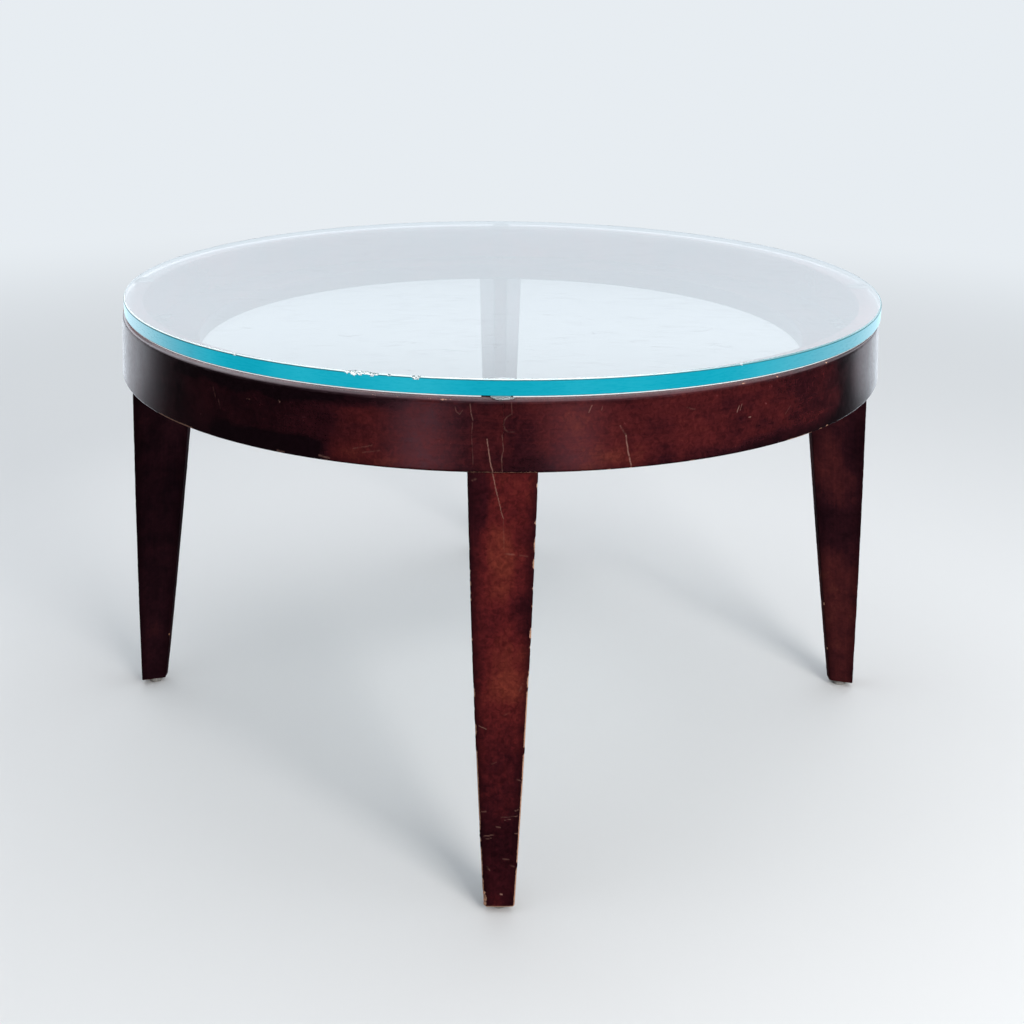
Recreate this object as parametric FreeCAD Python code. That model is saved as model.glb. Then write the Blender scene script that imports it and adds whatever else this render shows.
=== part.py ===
import FreeCAD, Part
import math
import os

os.makedirs("parts", exist_ok=True)
V = FreeCAD.Vector

# Round coffee table: a loose glass disc on clear pads, a thin canted wooden hoop
# (the apron), a flat mounting ring let into the hoop's foot, and four tapered legs
# bolted up under hoop and ring. Millimetres, +Z up, origin on the floor at the
# centre of the table.

# ---- driving dimensions ------------------------------------------------------
GLASS_R = 381.0          # 30 in glass disc
GLASS_T = 14.6           # nominal 15 mm plate
GLASS_OFF = (1.7, 0.4)   # the loose disc sits a little to the right
GLASS_ARRIS = 1.2        # ground chamfer on both rims
PAD_R = 11.0             # clear pads between glass and hoop
PAD_T = 2.0
PAD_AT = 371.5           # radius of the pads' centres

HOOP_BOTTOM_Z = 390.7
HOOP_TOP_Z = 449.2
HOOP_R_BOTTOM = 384.8    # outer face leans in a little towards the top
HOOP_R_TOP = 381.2
HOOP_WALL = 20.0
HOOP_EASE = 2.0          # rounded outer edges
REBATE_R = 372.0         # rebate inside the hoop's foot that takes the ring

RING_R_IN = 309.2
RING_T = 19.0
RING_EASE = 3.0

LEG_MID_Z = 170.0
LEG_FOOT_Z = 6.0         # height of the leg's end over the floor
# inner and outer radius, half width at the outer face and at the narrow inner edge
LEG_TOP = (322.2, 382.3, 28.4, 8.5)
LEG_MID = (352.4, 394.1, 21.6, 7.5)      # the faces swell a little
LEG_FOOT = (376.7, 401.7, 14.0, 6.5)
LEG_EASE = 1.4

GLIDE_R = 7.5            # nail-on glide
NAIL_R = 1.25
NAIL_LEN = 19.0

BOLT_R = 4.0             # two hanger bolts hold each leg
BOLT_AT = 357.0
BOLT_APART = 22.4
BOLT_IN_LEG = 45.0
CBORE_R = 9.6            # counterbore in the ring over each bolt
CBORE_DEPTH = 9.5
WASHER_R, WASHER_T = 8.5, 1.6
NUT_AF, NUT_H = 13.0, 6.5

SPLINE_T = 6.0           # loose tongue across each hoop joint
SPLINE_H = 29.0
SPLINE_LEN = 26.0
RING_SPLINE_T = 5.0      # loose tongue across each ring joint
RING_SPLINE_W = 38.0

GAP = 0.05               # glue line and slip clearance

SIDES = {"front": -90.0, "right": 0.0, "back": 90.0, "left": 180.0}


# ---- helpers -----------------------------------------------------------------
def rounded(points, radii):
    """Closed face in the XZ plane with rounded corners; points are (r, z)."""
    n = len(points)
    pts = [V(p[0], 0, p[1]) for p in points]
    starts, ends, mids = [], [], []
    for i in range(n):
        p, a, b = pts[i], pts[i - 1], pts[(i + 1) % n]
        r = radii[i]
        if r <= 0:
            starts.append(p), ends.append(p), mids.append(None)
            continue
        ua, ub = (a - p).normalize(), (b - p).normalize()
        half = math.acos(max(-1, min(1, ua.dot(ub)))) / 2
        cut = r / math.tan(half)
        centre = p + (ua + ub).normalize() * (r / math.sin(half))
        starts.append(p + ua * cut)
        ends.append(p + ub * cut)
        mids.append(centre + (p - centre).normalize() * r)
    edges = []
    for i in range(n):
        if mids[i] is not None:
            edges.append(Part.Arc(starts[i], mids[i], ends[i]).toShape())
        j = (i + 1) % n
        if (ends[i] - starts[j]).Length > 1e-6:
            edges.append(Part.LineSegment(ends[i], starts[j]).toShape())
    return Part.Face(Part.Wire(edges))


def turned(points, radii=None, start=0.0, sweep=360.0):
    face = rounded(points, radii or [0] * len(points))
    shape = face.revolve(V(0, 0, 0), V(0, 0, 1), sweep)
    if start:
        shape.rotate(V(0, 0, 0), V(0, 0, 1), start)
    return shape


def at(shape, radius, across, z, angle):
    """Copy of a shape moved out along +X, then turned to a side of the table."""
    s = shape.copy()
    s.translate(V(radius, across, z))
    s.rotate(V(0, 0, 0), V(0, 0, 1), angle)
    return s


def block(lx, ly, lz):
    return Part.makeBox(lx, ly, lz, V(-lx / 2, -ly / 2, -lz / 2))


def group(shapes):
    return Part.makeCompound(shapes) if len(shapes) > 1 else shapes[0]


def save(shape, name):
    for s in shape.Solids:
        if not s.isValid():
            raise RuntimeError("bad solid in " + name)
    shape.exportStep("parts/%s.step" % name)


def hoop_outer(z):
    k = (z - HOOP_BOTTOM_Z) / (HOOP_TOP_Z - HOOP_BOTTOM_Z)
    return HOOP_R_BOTTOM + k * (HOOP_R_TOP - HOOP_R_BOTTOM)


# ---- hoop (apron): four bent quarters that meet over the legs ------------------
ring_top = HOOP_BOTTOM_Z + RING_T
step_z = ring_top + GAP
hoop_points = [
    (REBATE_R, HOOP_BOTTOM_Z),
    (HOOP_R_BOTTOM, HOOP_BOTTOM_Z),
    (HOOP_R_TOP, HOOP_TOP_Z),
    (HOOP_R_TOP - HOOP_WALL, HOOP_TOP_Z),
    (hoop_outer(step_z) - HOOP_WALL, step_z),
    (REBATE_R, step_z),
]
hoop_radii = [0, HOOP_EASE, HOOP_EASE, 1.2, 0.6, 0]
spline_z = (step_z + HOOP_TOP_Z) / 2 - 1.0
spline_r = hoop_outer(spline_z) - HOOP_WALL / 2
slot = block(SPLINE_T + 2 * GAP, SPLINE_LEN + 4 * GAP, SPLINE_H + 2 * GAP)
butt = math.degrees(GAP / HOOP_R_BOTTOM)
for name, start in (
    ("front_right", -90.0),
    ("back_right", 0.0),
    ("back_left", 90.0),
    ("front_left", 180.0),
):
    quarter = turned(hoop_points, hoop_radii, start + butt, 90.0 - 2 * butt)
    for end in (start, start + 90.0):
        quarter = quarter.cut(at(slot, spline_r, 0, spline_z, end))
    save(quarter, "apron_" + name)
tongue = block(SPLINE_T, SPLINE_LEN, SPLINE_H)
save(
    group([at(tongue, spline_r, 0, spline_z, a) for a in SIDES.values()]),
    "apron_splines",
)

# ---- mounting ring: four sawn segments, one centred over each leg --------------
ring_points = [
    (RING_R_IN, HOOP_BOTTOM_Z),
    (REBATE_R - GAP, HOOP_BOTTOM_Z),
    (REBATE_R - GAP, ring_top),
    (RING_R_IN, ring_top),
]
ring_radii = [RING_EASE, 0, 0, 2.0]
ring_spline_r = (RING_R_IN + REBATE_R) / 2
ring_spline_z = HOOP_BOTTOM_Z + RING_T / 2
ring_slot = block(
    RING_SPLINE_W + 2 * GAP, SPLINE_LEN + 4 * GAP, RING_SPLINE_T + 2 * GAP
)
ring_butt = math.degrees(GAP / RING_R_IN)
hole = Part.makeCylinder(BOLT_R + 0.3, RING_T + 2, V(0, 0, -1))
cbore = Part.makeCylinder(CBORE_R, CBORE_DEPTH + 1, V(0, 0, RING_T - CBORE_DEPTH))
for name, angle in SIDES.items():
    seg = turned(ring_points, ring_radii, angle - 45.0 + ring_butt, 90.0 - 2 * ring_butt)
    for end in (angle - 45.0, angle + 45.0):
        seg = seg.cut(at(ring_slot, ring_spline_r, 0, ring_spline_z, end))
    for side in (-1, 1):
        for tool in (hole, cbore):
            seg = seg.cut(at(tool, BOLT_AT, side * BOLT_APART / 2, HOOP_BOTTOM_Z, angle))
    save(seg, "mounting_ring_" + name)
ring_tongue = block(RING_SPLINE_W, SPLINE_LEN, RING_SPLINE_T)
save(
    group(
        [
            at(ring_tongue, ring_spline_r, 0, ring_spline_z, a + 45.0)
            for a in SIDES.values()
        ]
    ),
    "mounting_ring_splines",
)

# ---- legs ----------------------------------------------------------------------
leg_top_z = HOOP_BOTTOM_Z - GAP


def leg_blank():
    """Tapered leg of wedge section, its narrow edge inwards, lofted over three heights."""
    wires = []
    for z, (r_in, r_out, wide, thin) in (
        (LEG_FOOT_Z, LEG_FOOT),
        (LEG_MID_Z, LEG_MID),
        (leg_top_z, LEG_TOP),
    ):
        corners = [(r_out, -wide), (r_out, wide), (r_in, thin), (r_in, -thin), (r_out, -wide)]
        wires.append(Part.makePolygon([V(r, t, z) for r, t in corners]))
    return Part.makeLoft(wires, True, False)


def bolt_shape(extra=0.0):
    """Hanger bolt along Z, its parting line with the leg's top at z = 0."""
    r = BOLT_R + extra
    top = RING_T - 0.4
    return turned(
        [
            (0, -BOLT_IN_LEG - extra),
            (1.2 + extra, -BOLT_IN_LEG - extra),
            (r, -BOLT_IN_LEG + 6),
            (r, top - 0.8),
            (r - 0.8, top),
            (0, top),
        ]
    )


leg = leg_blank().Solids[0]
long_edges = [
    e
    for e in leg.Edges
    if abs(e.Vertexes[0].Point.z - e.Vertexes[1].Point.z) > 100
]
foot_edges = [e for e in leg.Edges if max(v.Point.z for v in e.Vertexes) < LEG_FOOT_Z + 1]
leg = leg.makeFillet(LEG_EASE, long_edges + foot_edges)
leg_mid = (LEG_FOOT[0] + LEG_FOOT[1]) / 2
for side in (-1, 1):
    pilot = bolt_shape(GAP)
    pilot.translate(V(BOLT_AT, side * BOLT_APART / 2, HOOP_BOTTOM_Z))
    leg = leg.cut(pilot)
nail_hole = Part.makeCylinder(NAIL_R + GAP, NAIL_LEN + 1.0, V(leg_mid, 0, LEG_FOOT_Z - 1.0))
leg = leg.cut(nail_hole)
for name, angle in SIDES.items():
    s = leg.copy()
    s.rotate(V(0, 0, 0), V(0, 0, 1), angle)
    save(s, "leg_" + name)

# ---- leg hardware ----------------------------------------------------------------
bolt = bolt_shape()
washer_z = HOOP_BOTTOM_Z + RING_T - CBORE_DEPTH
washer = turned(
    [(BOLT_R + 0.2, 0.0), (WASHER_R, 0.0), (WASHER_R, WASHER_T), (BOLT_R + 0.2, WASHER_T)],
    [0, 0.3, 0.3, 0],
)
nut_circle = NUT_AF / math.sqrt(3)
hexagon = Part.Face(
    Part.makePolygon(
        [
            V(
                nut_circle * math.cos(math.radians(60 * i)),
                nut_circle * math.sin(math.radians(60 * i)),
                0,
            )
            for i in range(7)
        ]
    )
)
nut = hexagon.extrude(V(0, 0, NUT_H)).common(
    turned(
        [
            (0, 0),
            (NUT_AF / 2, 0),
            (nut_circle + 0.1, 0.75),
            (nut_circle + 0.1, NUT_H - 0.75),
            (NUT_AF / 2, NUT_H),
            (0, NUT_H),
        ]
    )
)
nut = nut.cut(Part.makeCylinder(BOLT_R + GAP, NUT_H + 2, V(0, 0, -1)))
places = [(a, s * BOLT_APART / 2) for a in SIDES.values() for s in (-1, 1)]
save(group([at(bolt, BOLT_AT, t, HOOP_BOTTOM_Z, a) for a, t in places]), "leg_bolts")
save(group([at(washer, BOLT_AT, t, washer_z, a) for a, t in places]), "leg_washers")
save(
    group([at(nut, BOLT_AT, t, washer_z + WASHER_T + 0.02, a) for a, t in places]),
    "leg_nuts",
)

# ---- glides ------------------------------------------------------------------------
glide_top = LEG_FOOT_Z - GAP
head_h = 1.4
glide = turned(
    [(0, 0), (GLIDE_R - 0.6, 0), (GLIDE_R, glide_top), (0, glide_top)],
    [0, 1.1, 0.4, 0],
)
glide = glide.cut(Part.makeCylinder(3.1, head_h + 1, V(0, 0, glide_top - head_h - GAP)))
nail = turned(
    [
        (0, 0),
        (3.05, 0),
        (3.05, head_h),
        (NAIL_R, head_h),
        (NAIL_R, head_h + NAIL_LEN - 4.5),
        (0.25, head_h + NAIL_LEN - 1.0),
        (0, head_h + NAIL_LEN - 1.0),
    ]
)
for name, angle in SIDES.items():
    save(at(glide, leg_mid, 0, 0, angle), "foot_glide_" + name)
save(
    group([at(nail, leg_mid, 0, glide_top - head_h, a) for a in SIDES.values()]),
    "glide_nails",
)

# ---- glass pads and glass ------------------------------------------------------------
pad_z = HOOP_TOP_Z + 0.02
pad = turned(
    [(0, 0), (PAD_R, 0), (PAD_R, PAD_T - 0.02), (0, PAD_T - 0.02)],
    [0, 0.7, 0.7, 0],
)
for name, angle in SIDES.items():
    save(at(pad, PAD_AT, 0, pad_z, angle), "glass_pad_" + name)

glass_z = HOOP_TOP_Z + PAD_T + GAP
glass = turned(
    [
        (0, 0),
        (GLASS_R - GLASS_ARRIS, 0),
        (GLASS_R, GLASS_ARRIS),
        (GLASS_R, GLASS_T - GLASS_ARRIS),
        (GLASS_R - GLASS_ARRIS, GLASS_T),
        (0, GLASS_T),
    ]
)
glass.translate(V(GLASS_OFF[0], GLASS_OFF[1], glass_z))
save(glass, "glass_top")
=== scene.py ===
import math

import bpy
import numpy as np
from mathutils import Matrix, Vector


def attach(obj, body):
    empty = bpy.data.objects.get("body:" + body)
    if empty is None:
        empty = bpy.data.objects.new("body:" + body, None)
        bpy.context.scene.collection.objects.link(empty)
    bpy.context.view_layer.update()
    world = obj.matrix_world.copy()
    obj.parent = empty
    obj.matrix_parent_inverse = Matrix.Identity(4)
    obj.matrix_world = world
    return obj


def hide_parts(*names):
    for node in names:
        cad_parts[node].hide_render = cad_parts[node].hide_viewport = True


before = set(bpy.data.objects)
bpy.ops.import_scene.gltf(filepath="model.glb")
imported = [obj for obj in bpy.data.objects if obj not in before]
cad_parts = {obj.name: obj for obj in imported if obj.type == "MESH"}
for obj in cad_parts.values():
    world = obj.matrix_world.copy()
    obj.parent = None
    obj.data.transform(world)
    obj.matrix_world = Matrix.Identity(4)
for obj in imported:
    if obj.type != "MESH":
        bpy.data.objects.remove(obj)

# Round glass-top coffee table. Metres, +Z up, origin on the floor under the centre,
# the nearest leg towards -Y. Shapes below are given in millimetres and scaled.

scene = bpy.context.scene
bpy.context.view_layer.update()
MM = 0.001

ZB, ZT = 390.7, 449.2            # hoop, bottom and top
RB, RT = 384.8, 381.2            # hoop, outer radius at bottom and top
WALL = 20.0
REBATE, STEP_Z = 372.0, 409.75
RU = 384.0                       # radius that arc lengths along the hoop are measured at
GLASS_R, GLASS_ZB, GLASS_ZT = 381.0, 451.25, 465.85
GLASS_C = (1.7, 0.4)
LEG_Z = (390.65, 170.0, 6.0)             # leg: top, middle, foot
LEG_IN = (322.2, 352.4, 376.7)           # inner and outer radius there, half width of the
LEG_OUT = (382.3, 394.1, 401.7)          # outer face and of the narrow inner edge
LEG_HALF = (28.4, 21.6, 14.0)
LEG_THIN = (8.5, 7.5, 6.5)
LEG_FIT = [np.polyfit(LEG_Z, v, 2) for v in (LEG_IN, LEG_OUT, LEG_HALF, LEG_THIN)]
SIDES = {"front": -90.0, "right": 0.0, "back": 90.0, "left": 180.0}


# ------------------------------------------------------------------ small helpers
def lattice(seed):
    return np.random.RandomState(seed).rand(4096)


def noise1(x, seed, octaves=3):
    """Smooth noise along a line, 0 to 1; x in lattice units."""
    x = np.asarray(x, float)
    total, amp, norm = np.zeros_like(x), 1.0, 0.0
    for o in range(octaves):
        tab = lattice(seed + 31 * o)
        i = np.floor(x).astype(int)
        f = x - i
        f = f * f * (3 - 2 * f)
        total += amp * (tab[i % 4096] * (1 - f) + tab[(i + 1) % 4096] * f)
        norm += amp
        amp *= 0.5
        x = x * 2.03 + 17.3
    return total / norm


def smooth(a, b, x):
    t = np.clip((np.asarray(x, float) - a) / (b - a), 0, 1)
    return t * t * (3 - 2 * t)


def merged(values, gap):
    """Sorted values with none closer than gap to the last kept; the ends stay."""
    v = np.sort(np.asarray(values, float))
    out = [v[0]]
    for x in v[1:-1]:
        if x - out[-1] >= gap and v[-1] - x >= gap:
            out.append(x)
    out.append(v[-1])
    return np.array(out)


def bites(chips, place, seed):
    """Splits each chip (position, half length, depth) into uneven smaller ones."""
    rs = np.random.RandomState(seed)
    out = []
    for c in chips:
        pos, hl, dep = c[place], c[place + 1], c[place + 2]
        n = max(1, int(round(hl / 1.6)))
        for i in range(n):
            t = (i + 0.5) / n * 2 - 1
            d = list(c)
            d[place] = pos + hl * (t * 0.85 + 0.25 * (rs.rand() - 0.5))
            d[place + 1] = hl / n * (0.7 + 0.9 * rs.rand())
            d[place + 2] = dep * (0.35 + 0.65 * rs.rand()) * (1 - 0.35 * abs(t))
            out.append(tuple(d))
    return out


def carve(points, scoops):
    """Pushes points that lie inside an ellipsoid out to its wall, as a chip does.
    Each scoop is (centre, three axes as rows, three radii). Returns a 0-1 mask."""
    mask = np.zeros(len(points))
    for centre, axes, radii in scoops:
        d = points - centre
        q = (d @ np.array(axes).T) / np.array(radii)
        n = np.sqrt((q * q).sum(1))
        inside = n < 1.0
        if not inside.any():
            continue
        nn = np.maximum(n[inside], 1e-3)
        points[inside] = centre + d[inside] / nn[:, None]
        mask[inside] = 1.0
        near = (n >= 1.0) & (n < 1.12)
        mask[near] = np.maximum(mask[near], 0.35)
    return mask


def noise2(x, y, seed):
    """Smooth noise over a plane, 0 to 1."""
    tab = np.random.RandomState(seed).rand(256, 256)
    xi, yi = np.floor(x).astype(int), np.floor(y).astype(int)
    fx, fy = x - xi, y - yi
    fx, fy = fx * fx * (3 - 2 * fx), fy * fy * (3 - 2 * fy)
    g = lambda i, j: tab[i % 256, j % 256]
    top = g(xi, yi) * (1 - fx) + g(xi + 1, yi) * fx
    low = g(xi, yi + 1) * (1 - fx) + g(xi + 1, yi + 1) * fx
    return top * (1 - fy) + low * fy


def scratches(x, y, marks, seed):
    """How strongly each point (mm, on a face) lies on one of the marks, 0 to 1."""
    out = np.zeros(len(x))
    wx = x + 0.4 * (noise2(x / 3.1, y / 3.1, seed) - 0.5)
    wy = y + 0.4 * (noise2(x / 3.1, y / 3.1, seed + 1) - 0.5)
    for a, b, w, strength in marks:
        lo = np.minimum(a, b) - 3
        hi = np.maximum(a, b) + 3
        sel = np.where((x > lo[0]) & (x < hi[0]) & (y > lo[1]) & (y < hi[1]))[0]
        if not len(sel):
            continue
        p = np.stack([wx[sel], wy[sel]], 1) - np.array(a)
        ba = np.array(b, float) - np.array(a, float)
        h = np.clip(p @ ba / max(ba @ ba, 1e-9), 0, 1)
        d = np.linalg.norm(p - h[:, None] * ba, axis=1)
        broken = smooth(0.22, 0.5, noise2(x[sel] / 2.3 + 40, y[sel] / 2.3, seed + 2))
        v = strength * (1 - smooth(w * 0.35, w, d)) * (0.35 + 0.65 * broken)
        out[sel] = np.maximum(out[sel], v)
    return out


def piece(name, verts, faces, mats, body, node, floats=None, vectors=None,
          face_mats=None, sharp=40.0):
    """Mesh object from points in millimetres; outward faces; rides, replaces, slot."""
    verts = np.asarray(verts, float) * MM
    quads = np.array([f for f in faces if len(f) == 4])
    a, b, c, d = (verts[quads[:, i]] for i in range(4))
    vol = (np.cross(b, c) * a).sum() + (np.cross(c, d) * a).sum()
    for f in faces:
        if len(f) != 4:
            k = np.array(f)
            n = len(k) - 2
            vol += (np.cross(verts[k[1:1 + n]], verts[k[2:2 + n]]) * verts[k[0]]).sum()
    if vol < 0:
        faces = [tuple(reversed(f)) for f in faces]
    me = bpy.data.meshes.new(name)
    me.from_pydata(verts.tolist(), [], faces)
    me.polygons.foreach_set("use_smooth", np.ones(len(me.polygons), bool))
    if face_mats is not None:
        me.polygons.foreach_set("material_index", np.asarray(face_mats, np.int32))
    for k, v in (floats or {}).items():
        at = me.attributes.new(k, "FLOAT", "POINT")
        at.data.foreach_set("value", np.asarray(v, np.float32))
    for k, v in (vectors or {}).items():
        at = me.attributes.new(k, "FLOAT_VECTOR", "POINT")
        at.data.foreach_set("vector", np.asarray(v, np.float32).ravel())
    me.update()
    me.set_sharp_from_angle(angle=math.radians(sharp))
    obj = bpy.data.objects.new(name, me)
    scene.collection.objects.link(obj)
    for m in mats:
        me.materials.append(m)
    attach(obj, body)
    if node:
        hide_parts(node)
    return obj


def loft_faces(rows, ring, closed_rows=False, cap=True):
    """Quads between rows of a closed ring of points, with flat ends."""
    faces = []
    last = rows if closed_rows else rows - 1
    for i in range(last):
        a, b = i * ring, ((i + 1) % rows) * ring
        for j in range(ring):
            k = (j + 1) % ring
            faces.append((a + j, b + j, b + k, a + k))
    if cap and not closed_rows:
        faces.append(tuple(range(ring)))
        faces.append(tuple((rows - 1) * ring + j for j in range(ring))[::-1])
    return faces


# ------------------------------------------------------------------ node helpers
class Tree:
    def __init__(self, name, world=False):
        if world:
            self.block = bpy.data.worlds.new(name)
        else:
            self.block = bpy.data.materials.new(name)
        self.block.use_nodes = True
        self.t = self.block.node_tree
        self.t.nodes.clear()

    def add(self, kind, **props):
        n = self.t.nodes.new(kind)
        for k, v in props.items():
            setattr(n, k, v)
        return n

    def put(self, socket, value):
        if value is None:
            return
        if isinstance(value, bpy.types.NodeSocket):
            self.t.links.new(value, socket)
        else:
            socket.default_value = value

    def math(self, op, a, b=None, c=None, clamp=False):
        n = self.add("ShaderNodeMath", operation=op, use_clamp=clamp)
        for s, v in zip(n.inputs, (a, b, c)):
            self.put(s, v)
        return n.outputs[0]

    def vec(self, op, a, b=None, scale=None):
        n = self.add("ShaderNodeVectorMath", operation=op)
        self.put(n.inputs[0], a)
        self.put(n.inputs[1], b)
        if scale is not None:
            self.put(n.inputs["Scale"], scale)
        return n.outputs["Value"] if op in ("DOT_PRODUCT", "LENGTH", "DISTANCE") else n.outputs[0]

    def attr(self, name, vector=False):
        n = self.add("ShaderNodeAttribute", attribute_name=name)
        return n.outputs["Vector"] if vector else n.outputs["Fac"]

    def noise(self, vector, scale, detail=3.0, rough=0.55, distortion=0.0):
        n = self.add("ShaderNodeTexNoise")
        self.put(n.inputs["Vector"], vector)
        n.inputs["Scale"].default_value = scale
        n.inputs["Detail"].default_value = detail
        n.inputs["Roughness"].default_value = rough
        n.inputs["Distortion"].default_value = distortion
        return n.outputs["Fac"]

    def voronoi(self, vector, scale, feature="F1", out="Distance", rand=1.0):
        n = self.add("ShaderNodeTexVoronoi", feature=feature)
        self.put(n.inputs["Vector"], vector)
        n.inputs["Scale"].default_value = scale
        n.inputs["Randomness"].default_value = rand
        return n.outputs[out]

    def span(self, value, a, b, lo=0.0, hi=1.0, kind="SMOOTHSTEP"):
        n = self.add("ShaderNodeMapRange", interpolation_type=kind, clamp=True)
        self.put(n.inputs["Value"], value)
        for k, v in (("From Min", a), ("From Max", b), ("To Min", lo), ("To Max", hi)):
            self.put(n.inputs[k], v)
        return n.outputs["Result"]

    def mix(self, fac, a, b, kind="MIX"):
        n = self.add("ShaderNodeMix", data_type="RGBA", blend_type=kind, clamp_factor=True)
        self.put(n.inputs["Factor"], fac)
        for s, v in ((n.inputs[6], a), (n.inputs[7], b)):
            if isinstance(v, (tuple, list)) and len(v) == 3:
                v = (*v, 1.0)
            self.put(s, v)
        return n.outputs[2]

    def ramp(self, fac, stops):
        n = self.add("ShaderNodeValToRGB")
        self.put(n.inputs["Fac"], fac)
        el = n.color_ramp.elements
        while len(el) < len(stops):
            el.new(0.5)
        for e, (p, c) in zip(el, stops):
            e.position = p
            e.color = (*c, 1.0)
        return n.outputs["Color"]

    def bump(self, height, strength, distance, normal=None):
        n = self.add("ShaderNodeBump")
        n.inputs["Strength"].default_value = strength
        n.inputs["Distance"].default_value = distance
        self.put(n.inputs["Height"], height)
        self.put(n.inputs["Normal"], normal)
        return n.outputs["Normal"]

    def principled(self, **values):
        p = self.add("ShaderNodeBsdfPrincipled")
        for k, v in values.items():
            key = k.replace("_", " ")
            if isinstance(v, (tuple, list)) and len(v) == 3 and key.endswith(("Color", "Tint")):
                v = (*v, 1.0)
            self.put(p.inputs[key], v)
        out = self.add("ShaderNodeOutputMaterial")
        self.t.links.new(p.outputs[0], out.inputs["Surface"])
        return p

    def line_mask(self, xy, a, b, width, soft=0.45):
        """1 on a straight scratch from a to b (mm, in the plane of xy), 0 away."""
        ax, ay = a[0] * MM, a[1] * MM
        bx, by = (b[0] - a[0]) * MM, (b[1] - a[1]) * MM
        inv = 1.0 / max(bx * bx + by * by, 1e-12)
        pa = self.vec("SUBTRACT", xy, (ax, ay, 0.0))
        h = self.math("MULTIPLY", self.vec("DOT_PRODUCT", pa, (bx, by, 0.0)), inv, clamp=True)
        n = self.add("ShaderNodeVectorMath", operation="SCALE")
        n.inputs[0].default_value = (bx, by, 0.0)
        self.put(n.inputs["Scale"], h)
        d = self.vec("DISTANCE", pa, n.outputs[0])
        return self.span(d, width * MM, width * soft * MM, 0.0, 1.0)


# ------------------------------------------------------------------ wood
PALE = (0.68, 0.40, 0.28)
PALE2 = (0.50, 0.245, 0.155)


def wood(name, coord, grain, tone=1.0, red=0.5, wear=True, seed=0.0, edge_dark=0.35, spec=0.5,
         gloss=0.0, soft=0.24, brown=1.0):
    """Mahogany stain under worn satin lacquer, with painted shade and, on the hoop, a painted lip sheen, both taken
    from the mesh. coord is "pc" (coordinates kept on the mesh, in metres) or "object"; grain is the axis that the grain
    runs along."""
    T = Tree(name)
    if coord == "pc":
        P = T.attr("pc", True)
    else:
        P = T.add("ShaderNodeTexCoord").outputs["Object"]
    Q = T.vec("ADD", P, (seed * 1.37, seed * 0.73, seed * 0.31))
    along = [1.0, 1.0, 1.0]
    along[grain] = 0.05
    S = T.vec("MULTIPLY", Q, tuple(along))
    cloud = T.noise(Q, 15.0, 3.0, 0.55, 0.3)
    mid = T.noise(Q, 60.0, 4.0, 0.6, 0.5)
    mottle = T.noise(Q, 260.0, 2.0, 0.5, 0.9)
    streak = T.noise(S, 430.0, 4.0, 0.65, 0.15)
    pores = T.noise(S, 1700.0, 2.0, 0.6)
    k = T.math("MULTIPLY_ADD", T.math("SUBTRACT", cloud, 0.5), 0.8, red)
    k = T.math("MULTIPLY_ADD", T.math("SUBTRACT", mid, 0.5), 0.38, k)
    k = T.math("MULTIPLY_ADD", T.math("SUBTRACT", mottle, 0.5), 0.14, k)
    k = T.math("MULTIPLY_ADD", T.math("SUBTRACT", streak, 0.5), 0.26, k)
    if wear:
        # stain tone and, on the hoop, painted shade, carried on the mesh
        k = T.math("ADD", k, T.attr("tint"))
    ash = brown * tone
    d = (0.0062 * tone, 0.0016 * ash, 0.0030 * ash)
    c1 = (0.0330 * tone, 0.0048 * ash, 0.0074 * ash)
    c2 = (0.0860 * tone, 0.0105 * ash, 0.0112 * ash)
    c3 = (0.1650 * tone, 0.0310 * ash, 0.0190 * ash)
    colour = T.ramp(k, [(0.0, d), (0.34, c1), (0.62, c2), (1.0, c3)])
    shade = T.span(mottle, 0.30, 0.70, 1.0 - soft, 1.0 + soft, "LINEAR")
    n = T.add("ShaderNodeVectorMath", operation="SCALE")
    T.put(n.inputs[0], colour)
    T.put(n.inputs["Scale"], shade)
    colour = n.outputs[0]
    pore = T.span(pores, 0.60, 0.78)
    colour = T.mix(T.math("MULTIPLY", pore, 0.22), colour, (0.006 * tone, 0.0016 * tone, 0.0020 * tone))
    rough = T.math("MULTIPLY_ADD", mid, 0.14, 0.15 - gloss)
    rough = T.math("MULTIPLY_ADD", T.math("SUBTRACT", mottle, 0.5), 0.14, rough)
    height = T.math("MULTIPLY_ADD", pore, -0.5, T.math("MULTIPLY", streak, 0.35))
    height = T.math("MULTIPLY_ADD", mottle, 0.6, height)
    if wear:
        wearv = T.attr("wear")
        chip = T.attr("chip")
        near = T.attr("rim")
        scr = T.attr("scr")
        colour = T.mix(T.math("MULTIPLY", near, edge_dark), colour,
                       (0.0070 * tone, 0.0016 * tone, 0.0030 * tone))
        if name.startswith("stain_hoop"):
            # the hoop's top lip: rubbed lacquer with a painted grey sheen
            colour = T.mix(T.math("MULTIPLY", T.attr("lip"), 0.55), colour, (0.36, 0.325, 0.345))
        fine = T.noise(Q, 900.0, 3.0, 0.6)
        mask = T.math("MULTIPLY_ADD", T.math("SUBTRACT", fine, 0.5), 0.55, wearv)
        mask = T.span(mask, 0.50, 0.62)
        mask = T.math("MAXIMUM", mask, T.span(chip, 0.30, 0.55))
        tan = T.mix(T.noise(Q, 380.0, 3.0, 0.6), PALE, PALE2)
        colour = T.mix(mask, colour, tan)
        sm = T.math("MULTIPLY", scr, T.span(fine, 0.20, 0.50, 0.45, 1.0))
        colour = T.mix(sm, colour, (0.42, 0.225, 0.180))
        rough = T.math("MULTIPLY_ADD", mask, 0.35, rough)
        rough = T.math("MULTIPLY_ADD", sm, 0.25, rough)
        height = T.math("MULTIPLY_ADD", mask, -1.0, height)
    p = T.principled(Base_Color=colour, Roughness=rough, Specular_IOR_Level=spec, IOR=1.5,
                     Specular_Tint=(1.0, 0.58, 0.68))
    T.put(p.inputs["Normal"], T.bump(height, 0.22, 0.0002))
    return T.block


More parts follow.
